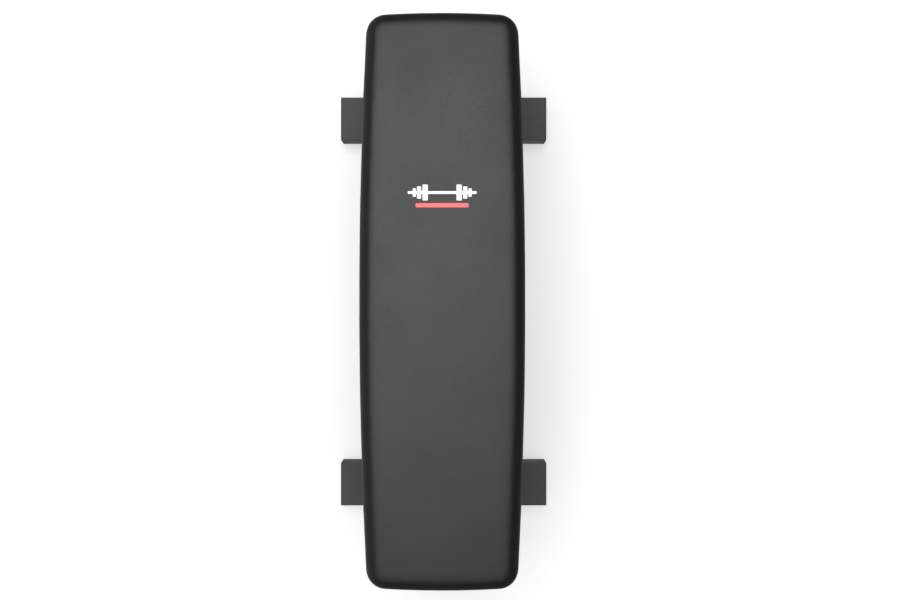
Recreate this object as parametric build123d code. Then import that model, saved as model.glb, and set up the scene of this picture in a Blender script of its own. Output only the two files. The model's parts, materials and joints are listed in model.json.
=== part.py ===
"""Flat weight bench: a one-piece upholstered pad on a bolted tube frame with two cross feet.

Frame: +Z up, +Y along the bench towards its wheeled end, +X across it.
The origin is on the floor, under the middle of the pad. All sizes are in millimetres.
Front is the -Y end, with the carry handle. Rear is the +Y end, with the transport wheels.
Left is -X and right is +X.
"""

import os

from build123d import *

# Overall sizes
BENCH_HEIGHT = 440.0
PAD_LENGTH = 1104.0
PAD_WIDTH = 316.5
PAD_THICKNESS = 70.0
FOOT_LENGTH = 477.0
FOOT_CENTRE_Y = 424.3

# Pad: outline and upholstery
PAD_CORNER_X = 143.4  # where the long side's arc would meet the end's arc
PAD_END_BULGE = 5.8
PAD_CORNER_RADIUS = 38.0
PAD_TOP_RADIUS = 28.0
PAD_BOTTOM_RADIUS = 7.0
COVER_THICKNESS = 1.5
COVER_WRAP = 35.0  # width of the cover turned in under the board
BOARD_THICKNESS = 18.0
FOAM_BASE_THICKNESS = 30.0
DUST_COVER_GAP = 0.4

# Staples through the turned-in cover
STAPLE_INSET = 24.0
STAPLE_CROWN = 10.0
STAPLE_WIRE = 1.2
STAPLE_LEG = 8.0
STAPLES_PER_SIDE = 21
STAPLES_PER_END = 6

# Tube stock: every frame tube is the same rectangular section
TUBE_WIDE = 100.0
TUBE_NARROW = 50.0
TUBE_WALL = 3.0
TUBE_RADIUS = 3.5
RUBBER_FOOT_HEIGHT = 8.0
CAP_FLANGE = 4.0
CAP_PLUG_DEPTH = 16.0
CAP_PLUG_WALL = 2.5
CAP_FIT = 0.15
CAP_EDGE_RADIUS = 1.2
PLATE_EDGE_RADIUS = 0.8

# Pad brackets: folded channels welded across the spine
BRACKET_HALF_LENGTH = 105.0
BRACKET_WIDTH = 60.0
BRACKET_SHEET = 4.0
BRACKET_PLATE = 5.0
BRACKET_FLANGE_DEPTH = 22.0
BRACKET_TIP_DEPTH = 10.0
BRACKET_Y = 400.0
PAD_BOLT_X = 80.0

# Fasteners
M12 = {"shank_r": 6.0, "length": 80.0, "across_flats": 18.0, "head": 7.5, "nut": 12.0}
M12_WASHER_R = 12.0
M12_WASHER = 2.5
M12_HOLE_R = 6.5
M8 = {"shank_r": 4.0, "across_flats": 13.0, "head": 5.3, "nut": 8.0}
M8_WASHER_R = 8.0
M8_WASHER = 1.6
M8_HOLE_R = 4.5
NUT_BORE_GAP = 0.05
PAD_BOLT_LENGTH = 25.0
T_NUT_FLANGE_R = 11.0
T_NUT_FLANGE = 1.6
T_NUT_BARREL_R = 5.5
T_NUT_BARREL = 11.0
T_NUT_PRONG = 7.0
SLEEVE_R = 9.0
SLEEVE_BORE_R = 6.3

# Bolted gusset plates at each end of the spine
GUSSET_SHEET = 6.0
GUSSET_BOLT_REACH = 124.0  # from the post's centre to the inner spine bolt
GUSSET_MARGIN = 8.0
GUSSET_POST_DROP = 118.0
GUSSET_CORNER_RADIUS = 10.0

# Web plates between each post and its foot
WEB_SHEET = 6.0
WEB_REACH = 72.0
WEB_HEIGHT = 78.0
WEB_NOSE = 12.0

# Rubber feet
RUBBER_FOOT_X = 195.0
RUBBER_FOOT_SIZE = (70.0, 90.0)
RUBBER_FOOT_CORNER = 8.0
FOOT_SCREW_Y = 28.0
FOOT_SCREW_R = 2.9
FOOT_SCREW_HEAD_R = 5.5
FOOT_SCREW_HEAD = 3.3
FOOT_SCREW_RECESS = (6.5, 4.5)
FOOT_SCREW_LENGTH = 10.5

# Carry handle at the front end of the spine
HANDLE_PLATE = 6.0
HANDLE_LEG_X = 68.0
HANDLE_REACH = 50.0
HANDLE_TUBE_R = 12.5
HANDLE_TUBE_WALL = 2.5
HANDLE_BEND = 26.0
GRIP_R = 15.5

# Transport wheels behind the rear foot
WHEEL_X = 85.0
WHEEL_RADIUS = 30.0
WHEEL_WIDTH = 24.0
WHEEL_REACH = 40.0  # from the foot's rear face to the axle
WHEEL_GROUND_GAP = 6.0
WHEEL_HUB_R = 21.0
TYRE_SHOULDER_R = 5.0
WHEEL_SIDE_GAP = 0.6
BUSHING_R = 6.5
BUSHING_BORE_GAP = 0.06
FORK_SHEET = 5.0
FORK_NOSE_R = 15.0
FORK_FOOT_MARGIN = 4.0

# Heights that follow from the sizes above
PAD_BOTTOM = BENCH_HEIGHT - PAD_THICKNESS
BOARD_BOTTOM = PAD_BOTTOM + COVER_THICKNESS
BOARD_TOP = BOARD_BOTTOM + BOARD_THICKNESS
FOAM_BASE_TOP = BOARD_TOP + FOAM_BASE_THICKNESS
SPINE_TOP = PAD_BOTTOM - BRACKET_PLATE
SPINE_CENTRE = SPINE_TOP - TUBE_WIDE / 2
SPINE_BOTTOM = SPINE_TOP - TUBE_WIDE
FOOT_TOP = RUBBER_FOOT_HEIGHT + TUBE_NARROW
FOOT_CENTRE_Z = FOOT_TOP - TUBE_NARROW / 2
SPINE_HALF_LENGTH = FOOT_CENTRE_Y + TUBE_WIDE / 2
FOOT_TUBE_LENGTH = FOOT_LENGTH - 2 * CAP_FLANGE
TUBE_SIDE_X = TUBE_NARROW / 2
AXLE_Y = SPINE_HALF_LENGTH + WHEEL_REACH
AXLE_Z = WHEEL_GROUND_GAP + WHEEL_RADIUS
GUSSET_TOP = SPINE_TOP - BRACKET_FLANGE_DEPTH - 5.0
GUSSET_BOLT_Z = GUSSET_TOP - 35.0

FRONT, REAR = -1, 1
LEFT, RIGHT = -1, 1
END_NAMES = {FRONT: "front", REAR: "rear"}
SIDE_NAMES = {LEFT: "left", RIGHT: "right"}


# Helpers
def block(x, y, z):
    """A box from three (low, high) pairs."""
    spans = [high - low for low, high in (x, y, z)]
    middle = [(low + high) / 2 for low, high in (x, y, z)]
    return Pos(*middle) * Box(*spans)


def rod(radius, length, axis, at):
    """A cylinder that starts at a point and runs along +X, -Y or +Z."""
    turn = {"x": Rot(0, 90, 0), "-y": Rot(90, 0, 0), "z": Rot(0, 0, 0)}[axis]
    bottom = (Align.CENTER, Align.CENTER, Align.MIN)
    return Pos(*at) * turn * Cylinder(radius, length, align=bottom)


def hexagon(across_flats, height, at, axis="z"):
    """A hexagonal prism that starts at a point, with its corners eased like a turned bolt head."""
    turn = {"x": Rot(0, 90, 0), "z": Rot(0, 0, 0)}[axis]
    flats = RegularPolygon(across_flats / 2, 6, major_radius=False)
    easing = 0.2 * height
    cone = Cone(
        across_flats / 2 + height - easing,
        across_flats / 2 - easing / 2,
        height,
        align=(Align.CENTER, Align.CENTER, Align.MIN),
    )
    return Pos(*at) * turn * (extrude(flats, height) & cone)


def upright_plane(at, normal):
    """A plane through a point that faces along the normal, with its own Y axis pointing up."""
    return Plane(origin=at, x_dir=Vector(0, 0, 1).cross(Vector(*normal)), z_dir=normal)


def tube(plane, across, up, length):
    """A rectangular tube centred on a plane and running along its normal."""
    outer = RectangleRounded(across, up, TUBE_RADIUS)
    inner = RectangleRounded(
        across - 2 * TUBE_WALL,
        up - 2 * TUBE_WALL,
        TUBE_RADIUS - TUBE_WALL,
    )
    return extrude(plane * (outer - inner), length / 2, both=True)


def end_cap(plane, across, up):
    """A plastic tube insert: its flange lies on the plane and stands along the normal."""
    flange = extrude(RectangleRounded(across, up, TUBE_RADIUS), CAP_FLANGE)
    flange = fillet(flange.faces().sort_by(Axis.Z)[-1].edges(), CAP_EDGE_RADIUS)
    shrink = 2 * (TUBE_WALL + CAP_FIT)
    plug_across, plug_up = across - shrink, up - shrink
    plug = RectangleRounded(plug_across, plug_up, 1.0)
    hollow = RectangleRounded(plug_across - 2 * CAP_PLUG_WALL, plug_up - 2 * CAP_PLUG_WALL, 1.0)
    return plane * (flange + extrude(plug - hollow, -CAP_PLUG_DEPTH))


def eased(face):
    """The plate that a face belongs to, with that face's edges rounded, as after deburring."""
    return fillet(face.edges(), PLATE_EDGE_RADIUS)


# Pad
def pad_outline(inset):
    """The barrel outline of the pad, drawn inwards by an inset: four arcs with rounded corners."""
    corner_y = PAD_LENGTH / 2 - PAD_END_BULGE
    right = ThreePointArc((PAD_CORNER_X, -corner_y), (PAD_WIDTH / 2, 0), (PAD_CORNER_X, corner_y))
    rear = ThreePointArc((PAD_CORNER_X, corner_y), (0, PAD_LENGTH / 2), (-PAD_CORNER_X, corner_y))
    left = ThreePointArc((-PAD_CORNER_X, corner_y), (-PAD_WIDTH / 2, 0), (-PAD_CORNER_X, -corner_y))
    front = ThreePointArc((-PAD_CORNER_X, -corner_y), (0, -PAD_LENGTH / 2), (PAD_CORNER_X, -corner_y))
    face = make_face([right, rear, left, front])
    face = fillet(face.vertices(), PAD_CORNER_RADIUS)
    return offset(face, -inset) if inset else face


def pad_form(inset):
    """The pad's rounded solid, drawn inwards on every side by an inset."""
    form = extrude(Pos(0, 0, PAD_BOTTOM + inset) * pad_outline(inset), PAD_THICKNESS - 2 * inset)
    top = form.faces().sort_by(Axis.Z)[-1].edges()
    form = fillet(top, PAD_TOP_RADIUS - inset)
    bottom = form.faces().sort_by(Axis.Z)[0].edges()
    return fillet(bottom, PAD_BOTTOM_RADIUS - inset)


def layer(solid, low, high):
    """The slice of a solid between two heights."""
    return solid & block((-PAD_WIDTH, PAD_WIDTH), (-PAD_LENGTH, PAD_LENGTH), (low, high))


def pad_bolt_places():
    """Where the six pad bolts stand, as (x, y)."""
    rows = (-BRACKET_Y, 0.0, BRACKET_Y)
    return [(side * PAD_BOLT_X, y) for y in rows for side in (LEFT, RIGHT)]


def at_pad_bolts(make):
    """One solid at each pad bolt, as a single compound."""
    return Compound(children=[make(x, y) for x, y in pad_bolt_places()])


def pad_cover():
    window = extrude(Pos(0, 0, PAD_BOTTOM) * pad_outline(COVER_WRAP), 2 * COVER_THICKNESS)
    return pad_form(0) - pad_form(COVER_THICKNESS) - window


def pad_foam_base(inner):
    foam = layer(inner, BOARD_TOP, FOAM_BASE_TOP)
    for x, y in pad_bolt_places():
        foam -= rod(T_NUT_FLANGE_R + 0.5, T_NUT_FLANGE + 0.3, "z", (x, y, BOARD_TOP))
    return foam


def pad_board(inner):
    board = layer(inner, BOARD_BOTTOM, BOARD_TOP)
    for x, y in pad_bolt_places():
        board -= rod(T_NUT_BARREL_R, BOARD_THICKNESS, "z", (x, y, BOARD_BOTTOM))
    return board


def pad_dust_cover():
    outline = Pos(0, 0, PAD_BOTTOM) * pad_outline(COVER_WRAP + DUST_COVER_GAP)
    sheet = extrude(outline, COVER_THICKNESS)
    for x, y in pad_bolt_places():
        sheet -= rod(M8_HOLE_R + 1.0, COVER_THICKNESS, "z", (x, y, PAD_BOTTOM))
    return sheet


def t_nut(x, y):
    flange = rod(T_NUT_FLANGE_R, T_NUT_FLANGE, "z", (x, y, BOARD_TOP))
    barrel = rod(T_NUT_BARREL_R, T_NUT_BARREL, "z", (x, y, BOARD_TOP - T_NUT_BARREL))
    nut = flange + barrel
    for turn in range(0, 360, 90):
        prong = Pos(T_NUT_FLANGE_R - 1.2, 0, -T_NUT_PRONG / 2) * Box(1.2, 2.4, T_NUT_PRONG)
        nut += Pos(x, y, BOARD_TOP) * Rot(0, 0, turn) * prong
    bore_length = T_NUT_BARREL + T_NUT_FLANGE
    bore = rod(M8["shank_r"] + NUT_BORE_GAP, bore_length, "z", (x, y, BOARD_TOP - T_NUT_BARREL))
    return nut - bore


def staple():
    """One staple with its crown along X, pressed up through the cover into the board."""
    crown = Pos(0, 0, -STAPLE_WIRE / 4) * Box(STAPLE_CROWN, STAPLE_WIRE, STAPLE_WIRE / 2)
    leg_x = STAPLE_CROWN / 2 - STAPLE_WIRE / 4
    wire = crown
    for side in (LEFT, RIGHT):
        wire += Pos(side * leg_x, 0, STAPLE_LEG / 2) * Box(STAPLE_WIRE / 2, STAPLE_WIRE, STAPLE_LEG)
    return wire


def pad_staples():
    """Staples along the turned-in cover: two long rows and two end rows, along the outline."""
    wires = []
    side_reach = PAD_LENGTH / 2 - PAD_CORNER_RADIUS - STAPLE_INSET
    end_reach = PAD_CORNER_X - PAD_CORNER_RADIUS - STAPLE_INSET / 2
    side_bulge = PAD_WIDTH / 2 - PAD_CORNER_X
    for side in (LEFT, RIGHT):
        for n in range(STAPLES_PER_SIDE):
            y = side_reach * (2 * n / (STAPLES_PER_SIDE - 1) - 1)
            x = PAD_WIDTH / 2 - STAPLE_INSET - side_bulge * (2 * y / PAD_LENGTH) ** 2
            wires.append(Pos(side * x, y, PAD_BOTTOM) * Rot(0, 0, 90) * staple())
        for n in range(STAPLES_PER_END):
            x = end_reach * (2 * n / (STAPLES_PER_END - 1) - 1)
            y = PAD_LENGTH / 2 - STAPLE_INSET - PAD_END_BULGE * (x / PAD_CORNER_X) ** 2
            wires.append(Pos(x, side * y, PAD_BOTTOM) * staple())
    return Compound(children=wires)


def pad_bolt(x, y):
    seat = SPINE_TOP + BRACKET_PLATE - BRACKET_SHEET - M8_WASHER
    head = hexagon(M8["across_flats"], M8["head"], (0, 0, 0))
    shank = rod(M8["shank_r"], PAD_BOLT_LENGTH, "z", (x, y, seat))
    return Pos(x, y, seat) * Rot(180, 0, 0) * head + shank


def pad_bolt_washer(x, y):
    seat = SPINE_TOP + BRACKET_PLATE - BRACKET_SHEET - M8_WASHER
    washer = rod(M8_WASHER_R, M8_WASHER, "z", (x, y, seat))
    return washer - rod(M8_HOLE_R - 0.2, M8_WASHER, "z", (x, y, seat))


# Frame
def gusset_bolt_places(end):
    """Where the four bolts of one end cross the frame, as (y, z)."""
    post_y = end * FOOT_CENTRE_Y
    inner_y = end * (FOOT_CENTRE_Y - GUSSET_BOLT_REACH)
    low_z = GUSSET_TOP - GUSSET_POST_DROP - 47.0
    return [
        (inner_y, GUSSET_BOLT_Z),
        (post_y, GUSSET_BOLT_Z),
        (post_y, low_z + 60.0),
        (post_y, low_z),
    ]


def cross_holes(radius, places):
    """Rods along X that cut one hole right through the frame at each place."""
    return [rod(radius, 2 * TUBE_WIDE, "x", (-TUBE_WIDE, y, z)) for y, z in places]


def spine_tube():
    middle = upright_plane((0, 0, SPINE_CENTRE), (0, 1, 0))
    spine = tube(middle, TUBE_NARROW, TUBE_WIDE, 2 * SPINE_HALF_LENGTH)
    for end in (FRONT, REAR):
        for hole in cross_holes(M12_HOLE_R, gusset_bolt_places(end)[:2]):
            spine -= hole
    return spine


def post(end):
    middle = Plane.XY.offset((FOOT_TOP + SPINE_BOTTOM) / 2)
    upright = tube(middle, TUBE_NARROW, TUBE_WIDE, SPINE_BOTTOM - FOOT_TOP)
    upright = Pos(0, end * FOOT_CENTRE_Y, 0) * upright
    for hole in cross_holes(M12_HOLE_R, gusset_bolt_places(end)[2:]):
        upright -= hole
    return upright


def foot_screw_places(end):
    """Where the four screws of one foot stand, as (x, y)."""
    middle = end * FOOT_CENTRE_Y
    rows = (middle - FOOT_SCREW_Y, middle + FOOT_SCREW_Y)
    return [(side * RUBBER_FOOT_X, y) for side in (LEFT, RIGHT) for y in rows]


def foot_tube(end):
    middle = upright_plane((0, end * FOOT_CENTRE_Y, FOOT_CENTRE_Z), (1, 0, 0))
    beam = tube(middle, TUBE_WIDE, TUBE_NARROW, FOOT_TUBE_LENGTH)
    for x, y in foot_screw_places(end):
        beam -= rod(FOOT_SCREW_R, TUBE_WALL, "z", (x, y, RUBBER_FOOT_HEIGHT))
    return beam


def foot_cap(end, side):
    tip = (side * FOOT_TUBE_LENGTH / 2, end * FOOT_CENTRE_Y, FOOT_CENTRE_Z)
    return end_cap(upright_plane(tip, (side, 0, 0)), TUBE_WIDE, TUBE_NARROW)


def spine_end_cap():
    tip = (0, SPINE_HALF_LENGTH, SPINE_CENTRE)
    return end_cap(upright_plane(tip, (0, 1, 0)), TUBE_NARROW, TUBE_WIDE)


def foot_web(end, side):
    """A triangular plate with a blunt nose, standing on the foot against the post."""
    inner, outer = TUBE_SIDE_X, TUBE_SIDE_X + WEB_REACH
    profile = Polyline(
        (inner, FOOT_TOP),
        (outer, FOOT_TOP),
        (outer, FOOT_TOP + WEB_NOSE),
        (inner + WEB_NOSE, FOOT_TOP + WEB_HEIGHT),
        (inner, FOOT_TOP + WEB_HEIGHT),
        close=True,
    )
    plate = extrude(Plane.XZ * make_face(profile), WEB_SHEET / 2, both=True)
    free = [e for e in plate.edges() if e.center().X > inner + 1.0 and e.center().Z > FOOT_TOP + 1.0]
    plate = fillet([e for e in free if abs(e.center().Y) > 1.0], PLATE_EDGE_RADIUS)
    plate = plate if side == RIGHT else mirror(plate, Plane.YZ)
    return Pos(0, end * FOOT_CENTRE_Y, 0) * plate


def gusset_plate(end, side):
    """A side plate that laps the spine and the post, with a swept inner corner."""
    outer = SPINE_HALF_LENGTH - GUSSET_MARGIN
    inner = FOOT_CENTRE_Y - GUSSET_BOLT_REACH - 30.0
    post_inner = FOOT_CENTRE_Y - TUBE_WIDE / 2 + GUSSET_MARGIN
    low = gusset_bolt_places(REAR)[3][1] - 30.0
    spine_low = SPINE_BOTTOM + GUSSET_MARGIN
    edges = [
        Line((inner, GUSSET_TOP), (outer, GUSSET_TOP)),
        Line((outer, GUSSET_TOP), (outer, low)),
        Line((outer, low), (post_inner, low)),
        Line((post_inner, low), (post_inner, low + 25.0)),
        TangentArc((post_inner, low + 25.0), (inner, spine_low), tangent=(0, 1)),
        Line((inner, spine_low), (inner, GUSSET_TOP)),
    ]
    face = make_face(edges)
    corners = [v for v in face.vertices() if abs(v.Y - (low + 25.0)) > 1.0]
    face = fillet(corners, GUSSET_CORNER_RADIUS)
    plate = extrude(Plane.YZ * face, GUSSET_SHEET)
    plate = Pos(TUBE_SIDE_X, 0, 0) * eased(plate.faces().sort_by(Axis.X)[-1])
    for hole in cross_holes(M12_HOLE_R, gusset_bolt_places(REAR)):
        plate -= hole
    plate = plate if side == RIGHT else mirror(plate, Plane.YZ)
    return plate if end == REAR else mirror(plate, Plane.XZ)


def frame_bolts(end):
    """Bolts through both gusset plates, with their heads on the right."""
    seat = TUBE_SIDE_X + GUSSET_SHEET + M12_WASHER
    bolts = []
    for y, z in gusset_bolt_places(end):
        head = hexagon(M12["across_flats"], M12["head"], (seat, y, z), "x")
        shank = rod(M12["shank_r"], M12["length"], "x", (seat - M12["length"], y, z))
        bolts.append(head + shank)
    return Compound(children=bolts)


def frame_washers(end):
    seats = (TUBE_SIDE_X + GUSSET_SHEET, -TUBE_SIDE_X - GUSSET_SHEET - M12_WASHER)
    rings = []
    for y, z in gusset_bolt_places(end):
        for x in seats:
            ring = rod(M12_WASHER_R, M12_WASHER, "x", (x, y, z))
            rings.append(ring - rod(M12_HOLE_R, M12_WASHER, "x", (x, y, z)))
    return Compound(children=rings)


def lock_nut(across_flats, height, bore_radius):
    """A nut along +Z from its bearing face, with the round collar of a nylon insert."""
    flats_height = 0.72 * height
    collar = rod(0.46 * across_flats, height - flats_height, "z", (0, 0, flats_height))
    collar = fillet(collar.faces().sort_by(Axis.Z)[-1].edges(), 0.12 * height)
    nut = hexagon(across_flats, flats_height, (0, 0, 0)) + collar
    return nut - rod(bore_radius, height, "z", (0, 0, 0))


def frame_nuts(end):
    seat = -TUBE_SIDE_X - GUSSET_SHEET - M12_WASHER
    bore = M12["shank_r"] + NUT_BORE_GAP
    nut = Rot(0, -90, 0) * lock_nut(M12["across_flats"], M12["nut"], bore)
    return Compound(children=[Pos(seat, y, z) * nut for y, z in gusset_bolt_places(end)])


def crush_sleeves(end):
    """Spacers inside the tubes, so that the bolts can't squash them."""
    start, length = -TUBE_SIDE_X + TUBE_WALL, TUBE_NARROW - 2 * TUBE_WALL
    sleeves = []
    for y, z in gusset_bolt_places(end):
        wall = rod(SLEEVE_R, length, "x", (start, y, z))
        sleeves.append(wall - rod(SLEEVE_BORE_R, length, "x", (start, y, z)))
    return Compound(children=sleeves)


def pad_bracket(y):
    """A folded channel across the spine: a top plate, and two flanges that straddle the tube."""
    top = block(
        (-BRACKET_HALF_LENGTH, BRACKET_HALF_LENGTH),
        (-BRACKET_WIDTH / 2, BRACKET_WIDTH / 2),
        (SPINE_TOP, SPINE_TOP + BRACKET_PLATE),
    )
    top -= block(
        (-BRACKET_HALF_LENGTH, BRACKET_HALF_LENGTH),
        (-BRACKET_WIDTH / 2 + BRACKET_SHEET, BRACKET_WIDTH / 2 - BRACKET_SHEET),
        (SPINE_TOP, SPINE_TOP + BRACKET_PLATE - BRACKET_SHEET),
    )
    top += block(
        (-TUBE_SIDE_X, TUBE_SIDE_X),
        (-BRACKET_WIDTH / 2 + BRACKET_SHEET, BRACKET_WIDTH / 2 - BRACKET_SHEET),
        (SPINE_TOP, SPINE_TOP + BRACKET_PLATE - BRACKET_SHEET),
    )
    profile = Polyline(
        (TUBE_SIDE_X, SPINE_TOP),
        (TUBE_SIDE_X, SPINE_TOP - BRACKET_FLANGE_DEPTH),
        (TUBE_SIDE_X + 30.0, SPINE_TOP - BRACKET_FLANGE_DEPTH),
        (BRACKET_HALF_LENGTH, SPINE_TOP - BRACKET_TIP_DEPTH),
        (BRACKET_HALF_LENGTH, SPINE_TOP),
        close=True,
    )
    flange = extrude(Plane.XZ * make_face(profile), BRACKET_SHEET / 2, both=True)
    bracket = top
    for side in (FRONT, REAR):
        shifted = Pos(0, side * (BRACKET_WIDTH - BRACKET_SHEET) / 2, 0) * flange
        bracket += shifted + mirror(shifted, Plane.YZ)
    folds = bracket.edges().filter_by(Axis.X).group_by(Axis.Z)[-1]
    bracket = fillet(folds, BRACKET_SHEET - 1.0)
    for side in (LEFT, RIGHT):
        bracket -= rod(M8_HOLE_R, 2 * BRACKET_PLATE, "z", (side * PAD_BOLT_X, 0, SPINE_TOP))
    return Pos(0, y, 0) * bracket


def rubber_foot(end, side):
    size_x, size_y = RUBBER_FOOT_SIZE
    pad = extrude(RectangleRounded(size_x, size_y, RUBBER_FOOT_CORNER), RUBBER_FOOT_HEIGHT)
    pad = chamfer(pad.faces().sort_by(Axis.Z)[0].edges(), 1.0)
    pad = Pos(side * RUBBER_FOOT_X, end * FOOT_CENTRE_Y, 0) * pad
    recess_r, recess_depth = FOOT_SCREW_RECESS
    for x, y in foot_screw_places(end):
        pad -= rod(FOOT_SCREW_R + 0.2, RUBBER_FOOT_HEIGHT, "z", (x, y, 0))
        pad -= rod(recess_r, recess_depth, "z", (x, y, 0))
    return pad


def foot_screws(end):
    screws = []
    recess_depth = FOOT_SCREW_RECESS[1]
    for x, y in foot_screw_places(end):
        head = rod(FOOT_SCREW_HEAD_R, FOOT_SCREW_HEAD, "z", (x, y, recess_depth - FOOT_SCREW_HEAD))
        head = fillet(head.faces().sort_by(Axis.Z)[0].edges(), 1.5)
        shank = rod(FOOT_SCREW_R - 0.05, FOOT_SCREW_LENGTH, "z", (x, y, recess_depth))
        screws.append(head + shank)
    return Compound(children=screws)


# Carry handle
def handle_end_plate():
    """A plate that closes the front of the spine, with two wings for the handle's legs."""
    wing = HANDLE_LEG_X + HANDLE_TUBE_R + 4.0
    half = TUBE_WIDE / 2 - 2.0
    wing_half = HANDLE_TUBE_R + 8.0
    points = [(TUBE_SIDE_X, half), (wing, wing_half), (wing, -wing_half), (TUBE_SIDE_X, -half)]
    points += [(-x, z) for x, z in reversed(points)]
    face = make_face(Polyline(*points, close=True))
    face = fillet(face.vertices(), 6.0)
    facing = upright_plane((0, -SPINE_HALF_LENGTH, SPINE_CENTRE), (0, -1, 0))
    plate = extrude(facing * face, HANDLE_PLATE)
    return eased(plate.faces().sort_by(Axis.Y)[0])


def handle_bar():
    """A round tube bent into a U, with its ends welded to the end plate."""
    root = -SPINE_HALF_LENGTH - HANDLE_PLATE
    reach = root - HANDLE_REACH
    path = FilletPolyline(
        (-HANDLE_LEG_X, root, SPINE_CENTRE),
        (-HANDLE_LEG_X, reach, SPINE_CENTRE),
        (HANDLE_LEG_X, reach, SPINE_CENTRE),
        (HANDLE_LEG_X, root, SPINE_CENTRE),
        radius=HANDLE_BEND,
    )
    start = Plane(origin=path @ 0, z_dir=path % 0)
    section = Circle(HANDLE_TUBE_R) - Circle(HANDLE_TUBE_R - HANDLE_TUBE_WALL)
    return sweep(start * section, path)


def handle_grip():
    half = HANDLE_LEG_X - HANDLE_BEND
    at = (-half, -SPINE_HALF_LENGTH - HANDLE_PLATE - HANDLE_REACH, SPINE_CENTRE)
    sleeve = rod(GRIP_R, 2 * half, "x", at)
    sleeve = fillet(sleeve.edges().filter_by(GeomType.CIRCLE), 1.5)
    return sleeve - rod(HANDLE_TUBE_R + 0.02, 2 * half, "x", at)


# Transport wheels
def wheel_fork(side):
    """A welded bracket on the rear foot: a base plate and two arms, one each side of the wheel."""
    face_y = SPINE_HALF_LENGTH
    low, high = RUBBER_FOOT_HEIGHT + FORK_FOOT_MARGIN, FOOT_TOP - FORK_FOOT_MARGIN
    gap = WHEEL_WIDTH / 2 + WHEEL_SIDE_GAP + 1.0
    fork = block((-gap - FORK_SHEET, gap + FORK_SHEET), (face_y, face_y + FORK_SHEET), (low, high))
    arm = Polyline(
        (face_y, low),
        (AXLE_Y, AXLE_Z - FORK_NOSE_R),
        (AXLE_Y, AXLE_Z + FORK_NOSE_R),
        (face_y, high),
        close=True,
    )
    nose = Pos(AXLE_Y, AXLE_Z) * Circle(FORK_NOSE_R)
    cheek = extrude(Plane.YZ * (make_face(arm) + nose), FORK_SHEET)
    fork += Pos(gap, 0, 0) * cheek + Pos(-gap - FORK_SHEET, 0, 0) * cheek
    fork -= rod(M8["shank_r"] + 0.1, 2 * TUBE_WIDE, "x", (-TUBE_WIDE, AXLE_Y, AXLE_Z))
    return Pos(side * WHEEL_X, 0, 0) * fork


def turned(points):
    """A ring turned about the X axis from (radius, along) points."""
    face = Plane.XZ * make_face(Polyline(*points, close=True))
    return Rot(0, 90, 0) * revolve(face, Axis.Z)


def place_wheel(solid, side):
    return Pos(side * WHEEL_X, AXLE_Y, AXLE_Z) * solid


def wheel_tyre(side):
    half = WHEEL_WIDTH / 2
    outline = [(WHEEL_HUB_R, -half), (WHEEL_RADIUS, -half), (WHEEL_RADIUS, half), (WHEEL_HUB_R, half)]
    tyre = turned(outline)
    rims = [e for e in tyre.edges().filter_by(GeomType.CIRCLE) if e.radius > WHEEL_HUB_R + 1.0]
    return place_wheel(fillet(rims, TYRE_SHOULDER_R), side)


def wheel_hub(side):
    """A moulded hub with a thin web between its boss and its rim."""
    half = WHEEL_WIDTH / 2
    boss_r, rim_r, web_half = BUSHING_R + 3.5, WHEEL_HUB_R - 3.0, 4.0
    outline = [
        (BUSHING_R, -half),
        (boss_r, -half),
        (boss_r, -web_half),
        (rim_r, -web_half),
        (rim_r, -half + 1.0),
        (WHEEL_HUB_R, -half + 1.0),
        (WHEEL_HUB_R, half - 1.0),
        (rim_r, half - 1.0),
        (rim_r, web_half),
        (boss_r, web_half),
        (boss_r, half),
        (BUSHING_R, half),
    ]
    return place_wheel(turned(outline), side)


def wheel_bushing(side):
    half = WHEEL_WIDTH / 2 + 1.0
    bore = M8["shank_r"] + BUSHING_BORE_GAP
    outline = [(bore, -half), (BUSHING_R, -half), (BUSHING_R, half), (bore, half)]
    return place_wheel(turned(outline), side)


def axle_bolt(side):
    """A bolt through the fork, with its head on the outer side."""
    reach = WHEEL_WIDTH / 2 + WHEEL_SIDE_GAP + 1.0 + FORK_SHEET
    head = hexagon(M8["across_flats"], M8["head"], (reach, 0, 0), "x")
    shank = rod(M8["shank_r"], 2 * reach + M8["nut"] + 1.5, "x", (-reach - M8["nut"] - 1.5, 0, 0))
    bolt = head + shank
    return place_wheel(bolt if side == RIGHT else mirror(bolt, Plane.YZ), side)


def axle_nut(side):
    reach = WHEEL_WIDTH / 2 + WHEEL_SIDE_GAP + 1.0 + FORK_SHEET
    nut = lock_nut(M8["across_flats"], M8["nut"], M8["shank_r"] + NUT_BORE_GAP)
    nut = Pos(-reach, 0, 0) * Rot(0, -90, 0) * nut
    return place_wheel(nut if side == RIGHT else mirror(nut, Plane.YZ), side)


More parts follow.
